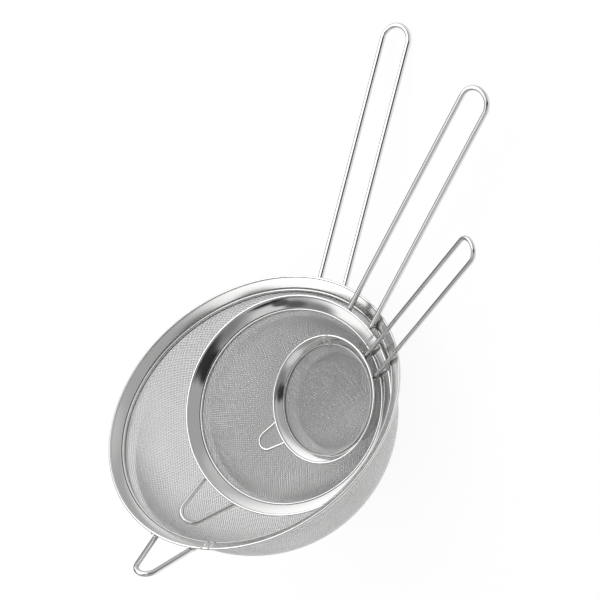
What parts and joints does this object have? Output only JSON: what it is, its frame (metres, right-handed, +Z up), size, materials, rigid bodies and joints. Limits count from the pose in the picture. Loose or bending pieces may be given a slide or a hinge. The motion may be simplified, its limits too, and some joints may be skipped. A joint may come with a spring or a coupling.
{
  "type": "nested hand sieve set",
  "caption": "Nested round fine-mesh hand sieves with sloping polished rims, U-shaped wire handles and V-shaped wire rest hooks, for sifting or straining.",
  "frame": {"origin": "the point where the large bowl lies on the table, on the table's surface", "axes": "+Z up from the table, +X along the large sieve's handle in plan, +Y to the left of it"},
  "size_m": [0.3454, 0.2565, 0.1769],
  "materials": {
    "polished_steel": "polished stainless sheet",
    "bright_wire": "bright drawn wire",
    "woven_mesh": "woven fine wire, satin",
    "clamp_steel": "plain sheet",
    "weld_steel": "small weld bead"
  },
  "bodies": {
    "large": {"large_rim_band": "polished_steel", "large_clamp_ring": "clamp_steel", "large_mesh_bowl": "woven_mesh", "large_handle": "bright_wire", "large_hook": "bright_wire", "large_handle_weld_left": "weld_steel", "large_handle_weld_right": "weld_steel", "large_hook_weld_left": "weld_steel", "large_hook_weld_right": "weld_steel"},
    "medium": {"medium_rim_band": "polished_steel", "medium_clamp_ring": "clamp_steel", "medium_mesh_bowl": "woven_mesh", "medium_handle": "bright_wire", "medium_hook": "bright_wire", "medium_handle_weld_left": "weld_steel", "medium_handle_weld_right": "weld_steel", "medium_hook_weld_left": "weld_steel", "medium_hook_weld_right": "weld_steel"},
    "small": {"small_rim_band": "polished_steel", "small_clamp_ring": "clamp_steel", "small_mesh_bowl": "woven_mesh", "small_handle": "bright_wire", "small_hook": "bright_wire", "small_handle_weld_left": "weld_steel", "small_handle_weld_right": "weld_steel", "small_hook_weld_left": "weld_steel", "small_hook_weld_right": "weld_steel"}
  },
  "joints": [
    {"name": "medium_lift", "type": "slide", "parent": "large", "child": "medium", "axis": [0.5615, -0.309, 0.7676], "range_m": [0, 0.12]},
    {"name": "small_lift", "type": "slide", "parent": "medium", "child": "small", "axis": [0.2483, -0.4437, 0.8611], "range_m": [0, 0.08]}
  ]
}
